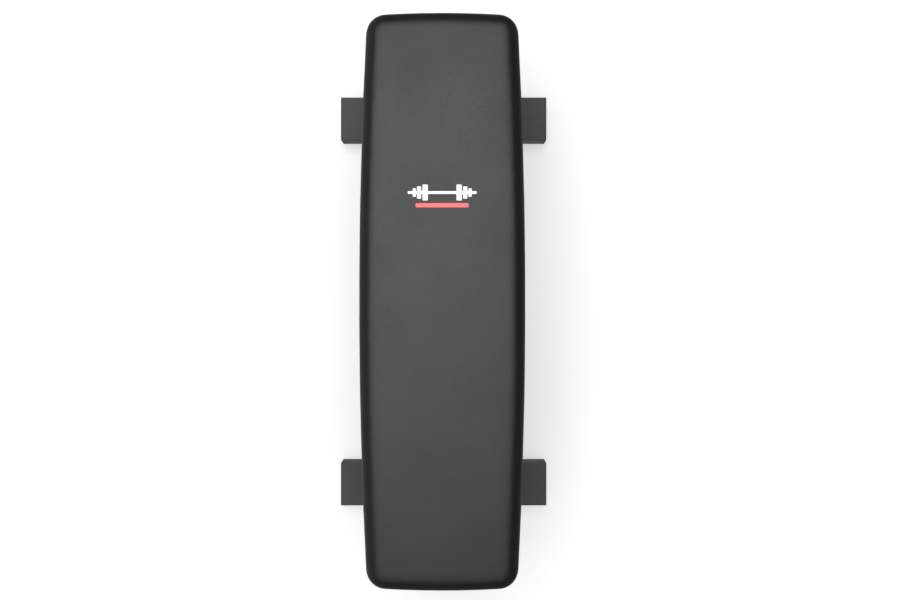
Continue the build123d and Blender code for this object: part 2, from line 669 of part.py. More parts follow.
def nodes():
    """Every sub-part by name."""
    inner = pad_form(COVER_THICKNESS)
    found = {
        "pad_cover": pad_cover(),
        "pad_foam_top": layer(inner, FOAM_BASE_TOP, BENCH_HEIGHT),
        "pad_foam_base": pad_foam_base(inner),
        "pad_board": pad_board(inner),
        "pad_dust_cover": pad_dust_cover(),
        "pad_t_nuts": at_pad_bolts(t_nut),
        "pad_staples": pad_staples(),
        "pad_bolts": at_pad_bolts(pad_bolt),
        "pad_bolt_washers": at_pad_bolts(pad_bolt_washer),
        "pad_bracket_front": pad_bracket(-BRACKET_Y),
        "pad_bracket_middle": pad_bracket(0.0),
        "pad_bracket_rear": pad_bracket(BRACKET_Y),
        "spine_tube": spine_tube(),
        "spine_end_cap": spine_end_cap(),
        "handle_end_plate": handle_end_plate(),
        "handle_bar": handle_bar(),
        "handle_grip": handle_grip(),
    }
    for end, end_name in END_NAMES.items():
        found[f"post_{end_name}"] = post(end)
        found[f"foot_tube_{end_name}"] = foot_tube(end)
        found[f"foot_screws_{end_name}"] = foot_screws(end)
        found[f"frame_bolts_{end_name}"] = frame_bolts(end)
        found[f"frame_washers_{end_name}"] = frame_washers(end)
        found[f"frame_nuts_{end_name}"] = frame_nuts(end)
        found[f"crush_sleeves_{end_name}"] = crush_sleeves(end)
        for side, side_name in SIDE_NAMES.items():
            found[f"foot_cap_{end_name}_{side_name}"] = foot_cap(end, side)
            found[f"foot_web_{end_name}_{side_name}"] = foot_web(end, side)
            found[f"gusset_plate_{end_name}_{side_name}"] = gusset_plate(end, side)
            found[f"rubber_foot_{end_name}_{side_name}"] = rubber_foot(end, side)
    for side, side_name in SIDE_NAMES.items():
        found[f"wheel_fork_{side_name}"] = wheel_fork(side)
        found[f"wheel_tyre_{side_name}"] = wheel_tyre(side)
        found[f"wheel_hub_{side_name}"] = wheel_hub(side)
        found[f"wheel_bushing_{side_name}"] = wheel_bushing(side)
        found[f"wheel_axle_bolt_{side_name}"] = axle_bolt(side)
        found[f"wheel_axle_nut_{side_name}"] = axle_nut(side)
    return found


os.makedirs("parts", exist_ok=True)
for name, shape in nodes().items():
    export_step(shape, f"parts/{name}.step")
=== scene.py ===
"""Looks of the flat weight bench: upholstery, print, welds, grips, materials, floor, light and camera.

Everything is in metres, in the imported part's own frame: +Z up, +Y towards the wheeled end, +X across.
"""

import json
import math

import bmesh
import bpy
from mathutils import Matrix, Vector
from mathutils.bvhtree import BVHTree


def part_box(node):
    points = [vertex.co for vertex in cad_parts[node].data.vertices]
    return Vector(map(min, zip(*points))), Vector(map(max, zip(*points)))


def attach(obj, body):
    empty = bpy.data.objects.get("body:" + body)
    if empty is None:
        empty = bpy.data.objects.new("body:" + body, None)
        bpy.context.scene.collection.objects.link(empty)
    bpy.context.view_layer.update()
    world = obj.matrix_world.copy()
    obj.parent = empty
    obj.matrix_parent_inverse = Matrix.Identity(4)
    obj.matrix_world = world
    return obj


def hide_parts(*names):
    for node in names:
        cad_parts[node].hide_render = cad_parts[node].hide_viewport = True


MM = 0.001

# Camera: straight above the bench, a little right of its middle
CAMERA_PLACE = (14.8 * MM, 3.4 * MM, 2090 * MM)
CAMERA_LENS_MM = 35.0

# Upholstery
VINYL_GRAIN = 2.0 * MM
REMESH_SIZE = 6 * MM
START_INSET = 0.3 * MM
SWELL_CAP = 0.8 * MM
EVENING_PASSES = 30
SOFTENING_PASSES = 4
SWELL_PRESSURE = 4.0
SWELL_FRAMES = 20
# How far the finished outline lies outside the CAD's, across and along
OUTLINE_SWELL = (1.6 * MM, 1.4 * MM)
# The vinyl is held up to this height above the pad's bottom, and let go over the next stretch
BOARD_HEIGHT = 20 * MM
BOARD_FADE = 12 * MM
STAPLE_PITCH = 50 * MM
PLEAT_COUNT = 7
PLEAT_DEPTH = 1.1 * MM
SIDE_PLEAT_DEPTH = 0.9 * MM
GATHER_HEIGHT = 26 * MM
# From the pad's box to the middle of its corner gathers, and how far past it they begin
PAD_CORNER_INSET = 56 * MM
CORNER_MARGIN = 5 * MM
# The underside is flat up to the first height above the pad's bottom, and unchanged past the second
UNDER_FLAT = 2 * MM
UNDER_BLEND = 6 * MM
DUST_COVER_GAP = 0.2 * MM
PUCKER_DEPTH = 0.35 * MM
PROBE_DROP = 50 * MM
# The underside puckers where x is over this share of y, which leaves the two ends smooth
SIDE_SHARE = 0.3
# A normal that points down more than this belongs to the underside
UNDERSIDE_NORMAL = -0.5

# Print on the pad
BARBELL_Y = 206 * MM
BAR_Y = 182 * MM
BARBELL_STEPS = (
    # start and end along the barbell, and half height, in millimetres
    (0, 27, 2.6),
    (27, 37, 15),
    (37, 39.5, 2.6),
    (39.5, 47.5, 11.5),
    (47.5, 49.5, 2.6),
    (49.5, 55.5, 8),
    (55.5, 65, 2.6),
)
BAR_HALF_LENGTH = 50 * MM
BAR_HALF_HEIGHT = 4 * MM
PRINT_LIFT = 0.25 * MM
PRINT_CORNER = 1.2 * MM
PRINT_CELL = 2 * MM

# Weld beads
BEAD_RADIUS = 3.8 * MM
BEAD_PITCH = 3.6 * MM
# Rings of vertices in each ripple
BEAD_STEPS = 3
BEAD_SIDES = 10
BEAD_RIPPLE = 0.16
BEAD_WANDER = 0.06
BEAD_WANDER_TURN = 1.7
HANDLE_BEAD_POINTS = 24
SPINE_CORNER = 4 * MM

# Handle grip
GRIP_CLEARANCE = 0.05 * MM
GRIP_SIDES = 48
GRIP_CHAMFER = 1.2 * MM
GRIP_COLLAR = 5 * MM
GRIP_FIRST_RIB = 6 * MM
GRIP_RIB_PITCH = 3 * MM
GRIP_GROOVE_DEPTH = 1.1 * MM
GRIP_GROOVE_WIDTH = 1.0 * MM
GRIP_RIB_DROP = 0.3 * MM
# Where the top of each rib starts and ends, from the start of its groove
GRIP_RIB_START = 1.5 * MM
GRIP_RIB_END = 2.5 * MM

# Studio
FLOOR_SIZE = 60.0
# The floor glows dimmer near the bench than far off: painted shade round the bench, painted light away
# from it
FLOOR_GLOW_NEAR = 0.43
FLOOR_GLOW_FAR = 1.0
FLOOR_GLOW_REACH = (0.35, 3.0)
SOFTBOX_PLACE = (-0.26, 0.87, 3.4)
SOFTBOX_SIZE = (2.2, 2.8)
SOFTBOX_POWER = 68.0
FILL_PLACE = (-0.2, -1.3, 3.4)
FILL_SIZE = (2.2, 1.6)
FILL_POWER = 18.6
ROOM_BELOW = 0.32
ROOM_AT_HORIZON = 0.08
ROOM_OVERHEAD = 0.13
ROOM_ON_LEFT = 0.22

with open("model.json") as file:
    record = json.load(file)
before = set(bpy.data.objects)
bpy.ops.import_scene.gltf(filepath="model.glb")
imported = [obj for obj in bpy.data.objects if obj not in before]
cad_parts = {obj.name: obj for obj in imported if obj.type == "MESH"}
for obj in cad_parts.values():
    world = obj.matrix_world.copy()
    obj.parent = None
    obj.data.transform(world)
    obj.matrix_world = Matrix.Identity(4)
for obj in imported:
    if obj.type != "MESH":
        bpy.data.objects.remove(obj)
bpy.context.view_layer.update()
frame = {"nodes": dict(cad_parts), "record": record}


# Mesh helpers
def mesh_object(name, bm, material, smooth=True):
    """A new object from a bmesh, with one material."""
    mesh = bpy.data.meshes.new(name)
    bmesh.ops.recalc_face_normals(bm, faces=bm.faces)
    bm.to_mesh(mesh)
    bm.free()
    piece = bpy.data.objects.new(name, mesh)
    bpy.context.scene.collection.objects.link(piece)
    mesh.materials.append(material)
    for face in mesh.polygons:
        face.use_smooth = smooth
    return piece


def applied(piece):
    """Turns a piece's modifiers into real mesh."""
    depsgraph = bpy.context.evaluated_depsgraph_get()
    mesh = bpy.data.meshes.new_from_object(piece.evaluated_get(depsgraph))
    piece.modifiers.clear()
    piece.data = mesh


def tree_of(node):
    """A search tree over the faces of a CAD node."""
    bm = bmesh.new()
    bm.from_mesh(frame["nodes"][node].data)
    tree = BVHTree.FromBMesh(bm)
    bm.free()
    return tree


def smoothstep(low, high, value):
    """Rises smoothly from 0 at the low value to 1 at the high one."""
    t = min(max((value - low) / (high - low), 0.0), 1.0)
    return t * t * (3 - 2 * t)


def ring(bm, centre, across, other, radius, sides):
    """A ring of vertices round a centre, in the plane of two directions."""
    verts = []
    for side in range(sides):
        angle = 2 * math.pi * side / sides
        spoke = across * math.cos(angle) + other * math.sin(angle)
        verts.append(bm.verts.new(centre + spoke * radius))
    return verts


# Materials
class Shader:
    """A procedural material under construction. Textures use the piece's own coordinates, in metres."""

    def __init__(self, name, color, roughness, **values):
        self.material = bpy.data.materials.new(name)
        self.material.use_nodes = True
        self.nodes = self.material.node_tree.nodes
        self.links = self.material.node_tree.links
        self.surface = self.nodes["Principled BSDF"]
        self.surface.inputs["Base Color"].default_value = (*color, 1.0)
        self.surface.inputs["Roughness"].default_value = roughness
        for socket, value in values.items():
            self.surface.inputs[socket.replace("_", " ")].default_value = value
        self.place = self.nodes.new("ShaderNodeTexCoord").outputs["Object"]
        self.color = color

    def stretched(self, scale):
        """The coordinates scaled by a different amount along each axis."""
        mapping = self.nodes.new("ShaderNodeMapping")
        mapping.inputs["Scale"].default_value = scale
        self.links.new(self.place, mapping.inputs["Vector"])
        return mapping.outputs["Vector"]

    def noise(self, size, detail=3.0, place=None):
        """Cloudy noise whose blotches are about that size in metres."""
        node = self.nodes.new("ShaderNodeTexNoise")
        node.inputs["Scale"].default_value = 1.0 / size
        node.inputs["Detail"].default_value = detail
        self.links.new(place or self.place, node.inputs["Vector"])
        return node.outputs[0]

    def cells(self, size, feature="DISTANCE_TO_EDGE"):
        """Voronoi cells of about that size in metres."""
        node = self.nodes.new("ShaderNodeTexVoronoi")
        node.feature = feature
        node.inputs["Scale"].default_value = 1.0 / size
        self.links.new(self.place, node.inputs["Vector"])
        return node.outputs["Distance"]

    def ranged(self, value, from_low, from_high, to_low, to_high):
        """A value moved from one range to another, and held inside it."""
        node = self.nodes.new("ShaderNodeMapRange")
        limits = (from_low, from_high, to_low, to_high)
        for index, limit in enumerate(limits, start=1):
            node.inputs[index].default_value = limit
        self.links.new(value, node.inputs[0])
        return node.outputs[0]

    def product(self, first, second):
        """Two values multiplied."""
        node = self.nodes.new("ShaderNodeMath")
        node.operation = "MULTIPLY"
        self.links.new(first, node.inputs[0])
        self.links.new(second, node.inputs[1])
        return node.outputs[0]

    def tint(self, mask, color):
        """Mixes another colour in where the mask is high. Later tints go over earlier ones."""
        node = self.nodes.new("ShaderNodeMix")
        node.data_type = "RGBA"
        before = self.surface.inputs["Base Color"]
        if before.is_linked:
            self.links.new(before.links[0].from_socket, node.inputs[6])
        else:
            node.inputs[6].default_value = (*self.color, 1.0)
        node.inputs[7].default_value = (*color, 1.0)
        self.links.new(mask, node.inputs[0])
        self.links.new(node.outputs[2], before)

    def roughen(self, value):
        """Lets a texture set the roughness."""
        self.links.new(value, self.surface.inputs["Roughness"])

    def bump(self, height, depth, strength):
        """Raises the surface by a height texture, on top of any earlier bump."""
        node = self.nodes.new("ShaderNodeBump")
        node.inputs["Strength"].default_value = strength
        node.inputs["Distance"].default_value = depth
        self.links.new(height, node.inputs["Height"])
        normal = self.surface.inputs["Normal"]
        if normal.is_linked:
            self.links.new(normal.links[0].from_socket, node.inputs["Normal"])
        self.links.new(node.outputs["Normal"], normal)


def shade(color, factor):
    """A colour made darker or lighter by a factor."""
    return tuple(channel * factor for channel in color)


def vinyl():
    """Near-black grained upholstery vinyl."""
    base = (0.012, 0.012, 0.0122)
    skin = Shader("vinyl", base, 0.36, Specular_IOR_Level=0.5)
    skin.tint(skin.ranged(skin.noise(90 * MM, 4.0), 0.35, 0.7, 0.0, 0.6), shade(base, 1.35))
    skin.tint(skin.ranged(skin.cells(VINYL_GRAIN), 0.0, 0.09, 0.7, 0.0), shade(base, 0.5))
    skin.roughen(skin.ranged(skin.noise(140 * MM, 5.0), 0.3, 0.75, 0.33, 0.40))
    skin.bump(skin.noise(6 * MM, 2.0), 0.08 * MM, 0.2)
    skin.bump(skin.ranged(skin.cells(VINYL_GRAIN), 0.0, 0.2, 0.0, 1.0), 0.12 * MM, 0.7)
    return skin.material


def powder_coat():
    """Matte black powder coat with a fine texture and a few faint scuffs."""
    base = (0.09, 0.09, 0.0905)
    coat = Shader("powder_coat", base, 0.6, Specular_IOR_Level=0.25)
    coat.tint(coat.ranged(coat.noise(160 * MM, 3.0), 0.35, 0.7, 0.0, 0.7), shade(base, 1.3))
    scratches = coat.noise(2.5 * MM, 2.0, coat.stretched((1.0, 0.12, 1.0)))
    patches = coat.ranged(coat.noise(60 * MM, 2.0), 0.6, 0.75, 0.0, 1.0)
    scuffs = coat.product(coat.ranged(scratches, 0.6, 0.7, 0.0, 0.6), patches)
    coat.tint(scuffs, shade(base, 1.8))
    coat.roughen(coat.ranged(coat.noise(25 * MM, 4.0), 0.3, 0.7, 0.56, 0.66))
    specks = coat.noise(1.8 * MM, 3.0)
    coat.tint(coat.ranged(specks, 0.55, 0.75, 0.0, 0.6), shade(base, 1.7))
    coat.bump(specks, 0.2 * MM, 0.8)
    return coat.material


def cap_plastic():
    """Black polyethylene with a spark-eroded mould texture."""
    base = (0.055, 0.055, 0.056)
    plastic = Shader("cap_plastic", base, 0.55, Specular_IOR_Level=0.4)
    plastic.tint(plastic.ranged(plastic.noise(14 * MM, 3.0), 0.4, 0.7, 0.0, 0.6), shade(base, 1.25))
    plastic.roughen(plastic.ranged(plastic.noise(9 * MM), 0.3, 0.7, 0.5, 0.62))
    plastic.bump(plastic.noise(0.7 * MM, 1.0), 0.05 * MM, 0.5)
    return plastic.material


def rubber(name, base, grit=1.4 * MM):
    """Dull black rubber, paler where dust sits on it."""
    stuff = Shader(name, base, 0.8, Specular_IOR_Level=0.3)
    dust = stuff.ranged(stuff.noise(18 * MM, 6.0), 0.5, 0.8, 0.0, 0.5)
    stuff.tint(dust, (0.09, 0.088, 0.084))
    stuff.roughen(stuff.ranged(stuff.noise(5 * MM), 0.3, 0.7, 0.72, 0.9))
    stuff.bump(stuff.noise(grit, 3.0), 0.12 * MM, 0.5)
    return stuff.material


def foam(name, base, cell):
    """Open-cell foam, with painted shade in its small pores, which are darker than its body."""
    sponge = Shader(name, base, 0.95, Specular_IOR_Level=0.2)
    # Painted shade: the pores, which the bump below sinks, are coloured darker
    sponge.tint(sponge.ranged(sponge.cells(cell, "F1"), 0.0, 0.5, 0.8, 0.0), shade(base, 0.4))
    sponge.bump(sponge.cells(cell, "F1"), 0.8 * MM, 0.8)
    return sponge.material


def plywood():
    """Raw birch plywood with its grain along the pad."""
    base = (0.52, 0.36, 0.21)
    wood = Shader("plywood", base, 0.7)
    grain = wood.noise(6 * MM, 6.0, wood.stretched((1.0, 0.05, 1.0)))
    wood.tint(wood.ranged(grain, 0.35, 0.7, 0.0, 0.9), shade(base, 0.55))
    wood.bump(grain, 0.15 * MM, 0.5)
    return wood.material


def dust_cloth():
    """Black spun-bonded cloth with paler fibres and small heat-sealed dots."""
    base = (0.017, 0.017, 0.018)
    cloth = Shader("dust_cloth", base, 0.9, Specular_IOR_Level=0.25)
    dots = cloth.ranged(cloth.cells(1.6 * MM, "F1"), 0.15, 0.35, 0.0, 1.0)
    fibres = cloth.noise(0.9 * MM, 4.0, cloth.stretched((1.0, 0.4, 1.0)))
    cloth.tint(cloth.ranged(fibres, 0.5, 0.8, 0.0, 0.8), (0.06, 0.06, 0.062))
    cloth.bump(dots, 0.15 * MM, 0.6)
    return cloth.material


def plated(name, base, roughness, tarnish):
    """Plated steel with fine turning marks and patches of tarnish."""
    metal = Shader(name, base, roughness, Metallic=1.0)
    marks = metal.noise(0.6 * MM, 2.0, metal.stretched((6.0, 1.0, 1.0)))
    metal.tint(metal.ranged(metal.noise(4 * MM, 4.0), 0.5, 0.75, 0.0, 0.7), tarnish)
    metal.roughen(metal.ranged(marks, 0.3, 0.7, roughness - 0.08, roughness + 0.12))
    metal.bump(marks, 0.02 * MM, 0.4)
    return metal.material


def bronze():
    """Oil-filled sintered bronze, dark in its pores."""
    base = (0.42, 0.26, 0.12)
    metal = Shader("bronze", base, 0.45, Metallic=1.0)
    metal.tint(metal.ranged(metal.noise(0.5 * MM, 2.0), 0.5, 0.7, 0.0, 0.8), shade(base, 0.35))
    metal.bump(metal.noise(0.5 * MM, 2.0), 0.05 * MM, 0.5)
    return metal.material


def glowing_ink(name, base):
    """Screen-printed ink that thins a little over the vinyl's grain, and glows faintly: painted light
    that brightens the print.
    """
    # Painted light: the emission makes the ink glow a little, brighter than the lamps alone make it
    film = Shader(name, base, 0.5, Emission_Color=(*base, 1.0), Emission_Strength=0.35)
    film.tint(film.ranged(film.cells(VINYL_GRAIN), 0.0, 0.05, 0.22, 0.0), shade(base, 0.6))
    film.tint(film.ranged(film.noise(12 * MM, 4.0), 0.55, 0.8, 0.0, 0.2), shade(base, 0.8))
    film.bump(film.ranged(film.cells(VINYL_GRAIN), 0.0, 0.16, 0.0, 1.0), 0.05 * MM, 0.4)
    return film.material


def glowing_floor_paint():
    """Plain pale studio floor with painted light: it glows, less near the bench, which paints shade
    round it, and more away from it, so that it fades into the room.
    """
    base = (0.88, 0.88, 0.88)
    paint = Shader("glowing_floor_paint", base, 0.7, Specular_IOR_Level=0.2)
    paint.tint(paint.ranged(paint.noise(0.8, 2.0), 0.3, 0.7, 0.0, 1.0), shade(base, 0.985))
    distance = paint.nodes.new("ShaderNodeVectorMath")
    distance.operation = "LENGTH"
    paint.links.new(paint.place, distance.inputs[0])
    # Painted light and shade: the glow is dimmest under the bench and grows with distance from it
    glow = paint.ranged(distance.outputs["Value"], *FLOOR_GLOW_REACH, FLOOR_GLOW_NEAR, FLOOR_GLOW_FAR)
    paint.links.new(glow, paint.surface.inputs["Emission Strength"])
    return paint.material


def slot_materials():
    """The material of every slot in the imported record."""
    return {
        "vinyl": vinyl(),
        "foam_soft": foam("foam_soft", (0.42, 0.42, 0.43), 0.9 * MM),
        "foam_firm": foam("foam_firm", (0.09, 0.095, 0.1), 2.5 * MM),
        "plywood": plywood(),
        "dust_cloth": dust_cloth(),
        "zinc": plated("zinc", (0.58, 0.59, 0.61), 0.32, (0.36, 0.35, 0.32)),
        "black_zinc": plated("black_zinc", (0.055, 0.055, 0.06), 0.36, (0.11, 0.11, 0.115)),
        "frame_paint": powder_coat(),
        "cap_plastic": cap_plastic(),
        "foot_rubber": rubber("foot_rubber", (0.016, 0.016, 0.016)),
        "grip_rubber": rubber("grip_rubber", (0.014, 0.014, 0.014), 0.8 * MM),
        "wheel_rubber": rubber("wheel_rubber", (0.022, 0.022, 0.022)),
        "hub_plastic": rubber("hub_plastic", (0.06, 0.06, 0.062), 0.7 * MM),
        "bronze": bronze(),
    }


def dress_cad_nodes(materials):
    """Gives every CAD node the finish of its slot."""
    for subpart in frame["record"]["subparts"]:
        mesh = frame["nodes"][subpart["node"]].data
        mesh.materials.clear()
        mesh.materials.append(materials[subpart["material_slot"]])


# Upholstery
def cover_form():
    """The pad's closed outer form: the hull of the CAD cover, which leaves out the window below."""
    bm = bmesh.new()
    bm.from_mesh(frame["nodes"]["pad_cover"].data)
    hull = bmesh.ops.convex_hull(bm, input=bm.verts)
    kept = {item for item in hull["geom"] if isinstance(item, bmesh.types.BMFace)}
    bmesh.ops.delete(bm, geom=[face for face in bm.faces if face not in kept], context="FACES")
    loose = [vert for vert in bm.verts if not vert.link_faces]
    bmesh.ops.delete(bm, geom=loose, context="VERTS")
    return bm


def cloth_moves(piece, held):
    """How far cloth pressure pushes each point of a piece out along its normal."""
    scene = bpy.context.scene
    start = [(vert.co.copy(), vert.normal.copy()) for vert in piece.data.vertices]
    cloth = piece.modifiers.new("cloth", "CLOTH")
    cloth.settings.use_pressure = True
    cloth.settings.uniform_pressure_force = SWELL_PRESSURE
    cloth.settings.vertex_group_mass = held.name
    cloth.settings.effector_weights.gravity = 0.0
    cloth.point_cache.frame_end = SWELL_FRAMES
    for number in range(1, SWELL_FRAMES + 1):
        scene.frame_set(number)
    depsgraph = bpy.context.evaluated_depsgraph_get()
    blown = piece.evaluated_get(depsgraph).data.vertices
    moves = [max(0.0, (b.co - home).dot(normal)) for b, (home, normal) in zip(blown, start)]
    piece.modifiers.clear()
    scene.frame_set(1)
    return moves


def swell(piece, held):
    """Swells a piece by its cloth moves, capped and evened out so that its rim stays round."""
    moves = [SWELL_CAP * math.tanh(move / SWELL_CAP) for move in cloth_moves(piece, held)]
    for _ in range(EVENING_PASSES):
        total = [0.0] * len(moves)
        count = [0] * len(moves)
        for edge in piece.data.edges:
            first, second = edge.vertices
            total[first] += moves[second]
            total[second] += moves[first]
            count[first] += 1
            count[second] += 1
        moves = [(move + t / max(c, 1)) / 2 for move, t, c in zip(moves, total, count)]
    normals = [vert.normal.copy() for vert in piece.data.vertices]
    for vert, move, normal in zip(piece.data.vertices, moves, normals):
        vert.co += normal * move


def hold_board(piece, bottom):
    """A vertex group that holds the vinyl to the board and lets go over the foam."""
    held = piece.vertex_groups.new(name="board")
    for vert in piece.data.vertices:
        height = vert.co.z - bottom
        weight = 1.0 - smoothstep(BOARD_HEIGHT, BOARD_HEIGHT + BOARD_FADE, height)
        held.add([vert.index], weight, "REPLACE")
    return held


def corner_angle(place, corner):
    """The direction of a place from the middle of its pad corner, or None away from the corners."""
    reach = Vector((abs(place.x), abs(place.y))) - corner
    if min(reach) < -CORNER_MARGIN:
        return None
    return math.atan2(reach.y, reach.x)


def pleat(angle):
    """How high the gathered vinyl stands at an angle round a corner, from 0 to 1."""
    return max(0.0, math.cos(4 * PLEAT_COUNT * angle)) ** 2


def gather_sides(piece, low, corner):
    """Draws the vinyl into faint folds on the lower sides of the corners, where it is pulled under."""
    normals = [vert.normal.copy() for vert in piece.data.vertices]
    for vert, normal in zip(piece.data.vertices, normals):
        height = vert.co.z - low.z
        angle = corner_angle(vert.co, corner)
        if angle is None or height > GATHER_HEIGHT or normal.z < UNDERSIDE_NORMAL:
            continue
        depth = SIDE_PLEAT_DEPTH * (1.0 - smoothstep(0.0, GATHER_HEIGHT, height))
        vert.co += normal * depth * (pleat(angle) - 0.5)


def turn_under(piece, low, corner):
    """Flattens the underside, sets the part over the dust cover back, and gathers the corners."""
    dust_cover = tree_of("pad_dust_cover")
    dust_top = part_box("pad_dust_cover")[1].z
    for vert in piece.data.vertices:
        place = vert.co
        if place.z > low.z + UNDER_BLEND:
            continue
        under = 1.0 - smoothstep(low.z + UNDER_FLAT, low.z + UNDER_BLEND, place.z)
        flat = low.z
        below = Vector((place.x, place.y, low.z - PROBE_DROP))
        if dust_cover.ray_cast(below, Vector((0, 0, 1)))[0]:
            flat = dust_top + DUST_COVER_GAP
        place.z += (flat - place.z) * under
        if flat > low.z:
            continue
        angle = corner_angle(place, corner)
        if angle is not None:
            place.z -= PLEAT_DEPTH * pleat(angle) * under
        elif abs(place.x) > abs(place.y) * SIDE_SHARE:
            pucker = 0.5 - 0.5 * math.cos(2 * math.pi * place.y / STAPLE_PITCH)
            place.z -= PUCKER_DEPTH * pucker * under


def fit_outline(piece, low, high):
    """Scales a piece in plan so that its widest outline lies just outside the CAD's."""
    for axis in (0, 1):
        places = [vert.co[axis] for vert in piece.data.vertices]
        middle = (low[axis] + high[axis]) / 2
        scale = (high[axis] - low[axis] + 2 * OUTLINE_SWELL[axis]) / (max(places) - min(places))
        for vert in piece.data.vertices:
            vert.co[axis] = middle + (vert.co[axis] - middle) * scale


def remesh(piece):
    """Gives a piece even faces, small enough to bend."""
    even = piece.modifiers.new("remesh", "REMESH")
    even.mode = "VOXEL"
    even.voxel_size = REMESH_SIZE
    applied(piece)


def set_in(piece, bottom):
    """Draws the part over the foam in a little, so that it has room to swell."""
    normals = [vert.normal.copy() for vert in piece.data.vertices]
    for vert, normal in zip(piece.data.vertices, normals):
        over_foam = smoothstep(BOARD_HEIGHT, BOARD_HEIGHT + BOARD_FADE, vert.co.z - bottom)
        vert.co -= normal * START_INSET * over_foam


def soften(piece):
    """Rounds off the steps of the remesh, and subdivides once."""
    smooth = piece.modifiers.new("soften", "SMOOTH")
    smooth.iterations = SOFTENING_PASSES
    finer = piece.modifiers.new("subdivide", "SUBSURF")
    finer.levels = 1
    finer.render_levels = 1
    applied(piece)


def upholstery(material):
    """The vinyl-covered pad, swollen over its foam and pulled tight under its board."""
    low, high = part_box("pad_cover")
    pad = mesh_object("pad_upholstery", cover_form(), material)
    remesh(pad)
    held = hold_board(pad, low.z)
    set_in(pad, low.z)
    swell(pad, held)
    pad.vertex_groups.clear()
    soften(pad)
    fit_outline(pad, low, high)
    corner = Vector((high.x - PAD_CORNER_INSET, high.y - PAD_CORNER_INSET))
    turn_under(pad, low, corner)
    gather_sides(pad, low, corner)
    for face in pad.data.polygons:
        face.use_smooth = True
    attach(pad, "frame")
    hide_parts("pad_cover")
    return pad


# Print
def barbell_outline():
    """A barbell's upper right edge, from its middle out, mirrored into the whole outline."""
    edge = []
    for start, end, half_height in BARBELL_STEPS:
        edge += [(start * MM, half_height * MM), (end * MM, half_height * MM)]
    upper = [(-x, y) for x, y in reversed(edge[1:])] + edge[1:]
    return upper + [(x, -y) for x, y in reversed(upper)]


def bar_outline():
    """The four corners of the bar under the barbell."""
    return [
        (-BAR_HALF_LENGTH, BAR_HALF_HEIGHT),
        (BAR_HALF_LENGTH, BAR_HALF_HEIGHT),
        (BAR_HALF_LENGTH, -BAR_HALF_HEIGHT),
        (-BAR_HALF_LENGTH, -BAR_HALF_HEIGHT),
    ]


def printed(name, outline, centre_y, material, surface):
    """A thin film of ink inside a flat outline, with soft corners, laid on the pad."""
    bm = bmesh.new()
    bm.faces.new([bm.verts.new((x, y + centre_y, 0.0)) for x, y in outline])
    bmesh.ops.bevel(
        bm, geom=bm.verts[:], offset=PRINT_CORNER, segments=3, profile=0.5, affect="VERTICES"
    )
    reach = max(vert.co.x for vert in bm.verts)
    cuts = int(2 * reach / PRINT_CELL)
    for cut in range(1, cuts):
        place = (-reach + cut * PRINT_CELL, 0.0, 0.0)
        geometry = bm.faces[:] + bm.edges[:] + bm.verts[:]
        bmesh.ops.bisect_plane(bm, geom=geometry, plane_co=place, plane_no=(1, 0, 0))
    for vert in bm.verts:
        above = Vector((vert.co.x, vert.co.y, 1.0))
        vert.co.z = surface.ray_cast(above, Vector((0, 0, -1)))[0].z - PRINT_LIFT
    bmesh.ops.recalc_face_normals(bm, faces=bm.faces)
    raised = bmesh.ops.extrude_face_region(bm, geom=bm.faces[:], use_keep_orig=True)["geom"]
    for vert in raised:
        if isinstance(vert, bmesh.types.BMVert):
            vert.co.z += 2 * PRINT_LIFT
    film = mesh_object(name, bm, material, smooth=False)
    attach(film, "frame")


def barbell_print(pad):
    """A plain barbell pictogram in white over a thin salmon bar."""
    surface = BVHTree.FromObject(pad, bpy.context.evaluated_depsgraph_get())
    # Both inks glow faintly: painted light on the print
    white = glowing_ink("white_glowing_ink", (0.94, 0.94, 0.94))
    salmon = glowing_ink("salmon_glowing_ink", (0.95, 0.165, 0.16))
    printed("print_barbell", barbell_outline(), BARBELL_Y, white, surface)
    printed("print_bar", bar_outline(), BAR_Y, salmon, surface)


# Welds
def bead_rings(bm, points, closed):
    """Rings of vertices for a rippled weld bead along straight runs between points."""
    path = [Vector(point) for point in points]
    if closed:
        path.append(path[0])
    rings = []
    for start, end in zip(path, path[1:]):
        run = end - start
        direction = run.normalized()
        across = direction.orthogonal().normalized()
        other = direction.cross(across)
        steps = max(2, round(run.length / (BEAD_PITCH / BEAD_STEPS)))
        last = 0 if closed or end is not path[-1] else 1
        for step in range(steps + last):
            ripple = 1.0 + BEAD_RIPPLE * math.cos(2 * math.pi * step / BEAD_STEPS)
            ripple += BEAD_WANDER * math.sin(BEAD_WANDER_TURN * step)
            centre = start + run * (step / steps)
            rings.append(ring(bm, centre, across, other, BEAD_RADIUS * ripple, BEAD_SIDES))
    return rings


def skin_rings(bm, rings, closed):
    """Joins a bead's rings into a tube, each to the next at its nearest vertex, and closes the ends."""
    pairs = list(zip(rings, rings[1:]))
    if closed:
        pairs.append((rings[-1], rings[0]))
    for first, second in pairs:
        turn = min(range(BEAD_SIDES), key=lambda n: (first[0].co - second[n].co).length)
        forwards = (first[1].co - second[(turn + 1) % BEAD_SIDES].co).length
        backwards = (first[1].co - second[(turn - 1) % BEAD_SIDES].co).length
        sense = 1 if forwards < backwards else -1
        for n in range(BEAD_SIDES):
            beside = second[(turn + sense * n) % BEAD_SIDES]
            after = second[(turn + sense * (n + 1)) % BEAD_SIDES]
            bm.faces.new((first[n], first[(n + 1) % BEAD_SIDES], after, beside))
    if not closed:
        bm.faces.new(rings[0])
        bm.faces.new(list(reversed(rings[-1])))


def weld(name, runs, material):
    """One painted piece made of several beads, each a (points, closed) pair."""
    bm = bmesh.new()
    for points, closed in runs:
        skin_rings(bm, bead_rings(bm, points, closed), closed)
    piece = mesh_object(name, bm, material)
    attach(piece, "frame")


def box_loop(node, z):
    """The four corners of a node's box at one height."""
    low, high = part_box(node)
    return [(low.x, low.y, z), (high.x, low.y, z), (high.x, high.y, z), (low.x, high.y, z)]


